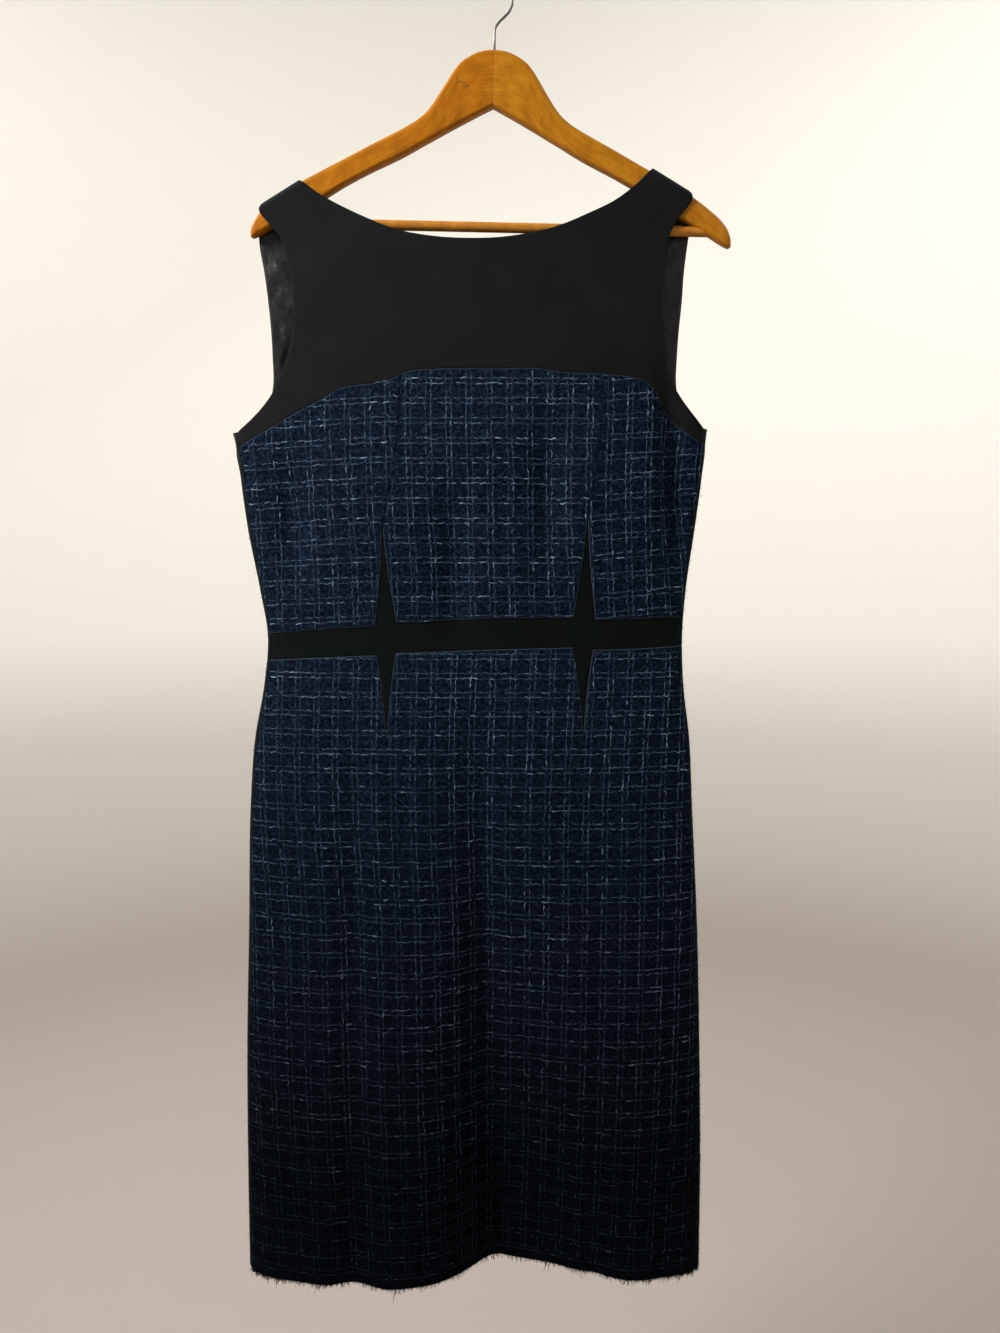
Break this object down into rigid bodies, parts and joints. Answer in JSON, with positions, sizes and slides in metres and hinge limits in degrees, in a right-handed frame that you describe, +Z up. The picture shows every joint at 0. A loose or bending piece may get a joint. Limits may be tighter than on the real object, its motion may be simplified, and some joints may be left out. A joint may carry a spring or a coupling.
{
  "type": "pencil dress on a hanger",
  "caption": "Sleeveless lined pencil dress in checked tweed with a plain black yoke, waistband and darts, hanging flat on a wooden hanger.",
  "frame": {"origin": "the inside of the hook's top, where it rests on what holds it", "axes": "+Z up, the dress's front faces -Y, +X to the right as seen from the front"},
  "size_m": [0.4691, 0.0732, 1.2395],
  "materials": {
    "crepe": "matt black crepe",
    "tweed": "navy boucle tweed with a broken check",
    "satin": "smooth black lining satin",
    "varnished_wood": "honey-coloured gloss varnish",
    "steel": "dull steel"
  },
  "bodies": {
    "dress_and_hanger": {"back_lining_left": "satin", "back_lining_right": "satin", "bodice_back_left": "crepe", "bodice_back_right": "crepe", "bodice_front_centre": "tweed", "bodice_front_side_left": "tweed", "bodice_front_side_right": "tweed", "front_yoke": "crepe", "hanger_arm_left": "varnished_wood", "hanger_arm_right": "varnished_wood", "hanger_bar": "varnished_wood", "hanger_hook": "steel", "skirt_back_left": "crepe", "skirt_back_right": "crepe", "skirt_front": "tweed", "waistband_front": "crepe", "zip_slider": "steel"},
    "zip_pull": {"zip_pull_tab": "steel"}
  },
  "joints": [
    {"name": "zip_pull_swing", "type": "hinge", "parent": "dress_and_hanger", "child": "zip_pull", "pos_m": [-0.0245, 0.01797, -0.2377], "axis": [1, 0, 0], "range_deg": [0, 170]}
  ]
}
